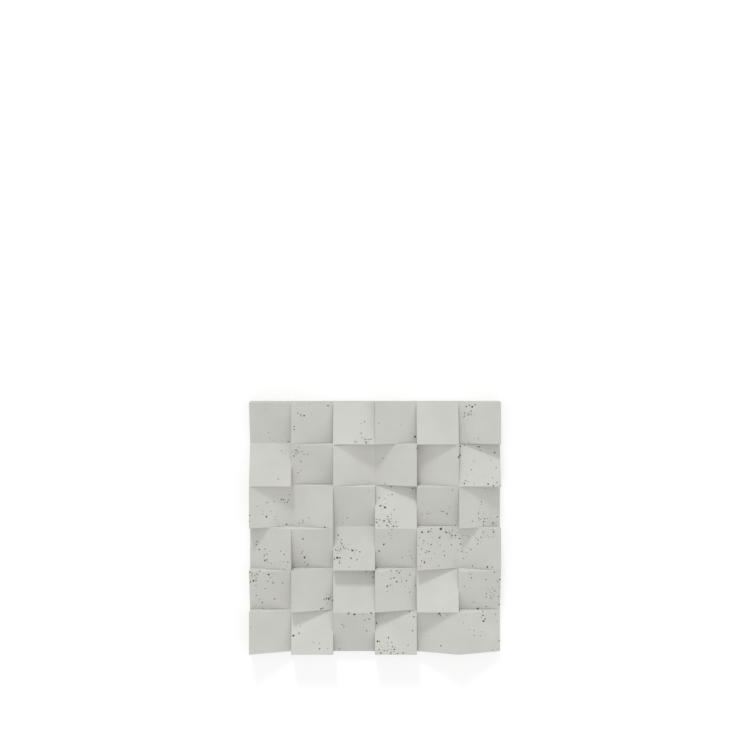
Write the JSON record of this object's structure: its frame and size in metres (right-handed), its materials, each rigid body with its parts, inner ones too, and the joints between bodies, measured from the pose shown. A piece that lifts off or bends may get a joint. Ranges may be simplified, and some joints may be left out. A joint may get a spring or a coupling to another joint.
{
  "type": "3d wall panel tile",
  "caption": "Square cast concrete wall tile whose face is a grid of blocks, each sloping to one of its four sides.",
  "frame": {"origin": "middle of the flat back, on the floor", "axes": "+Z out of the face, +X to the right and +Y to the top of the tile as it hangs on a wall"},
  "size_m": [0.6, 0.6, 0.033],
  "materials": {
    "concrete": "matt"
  },
  "bodies": {
    "root": {"concrete_tile": "concrete"}
  },
  "joints": []
}
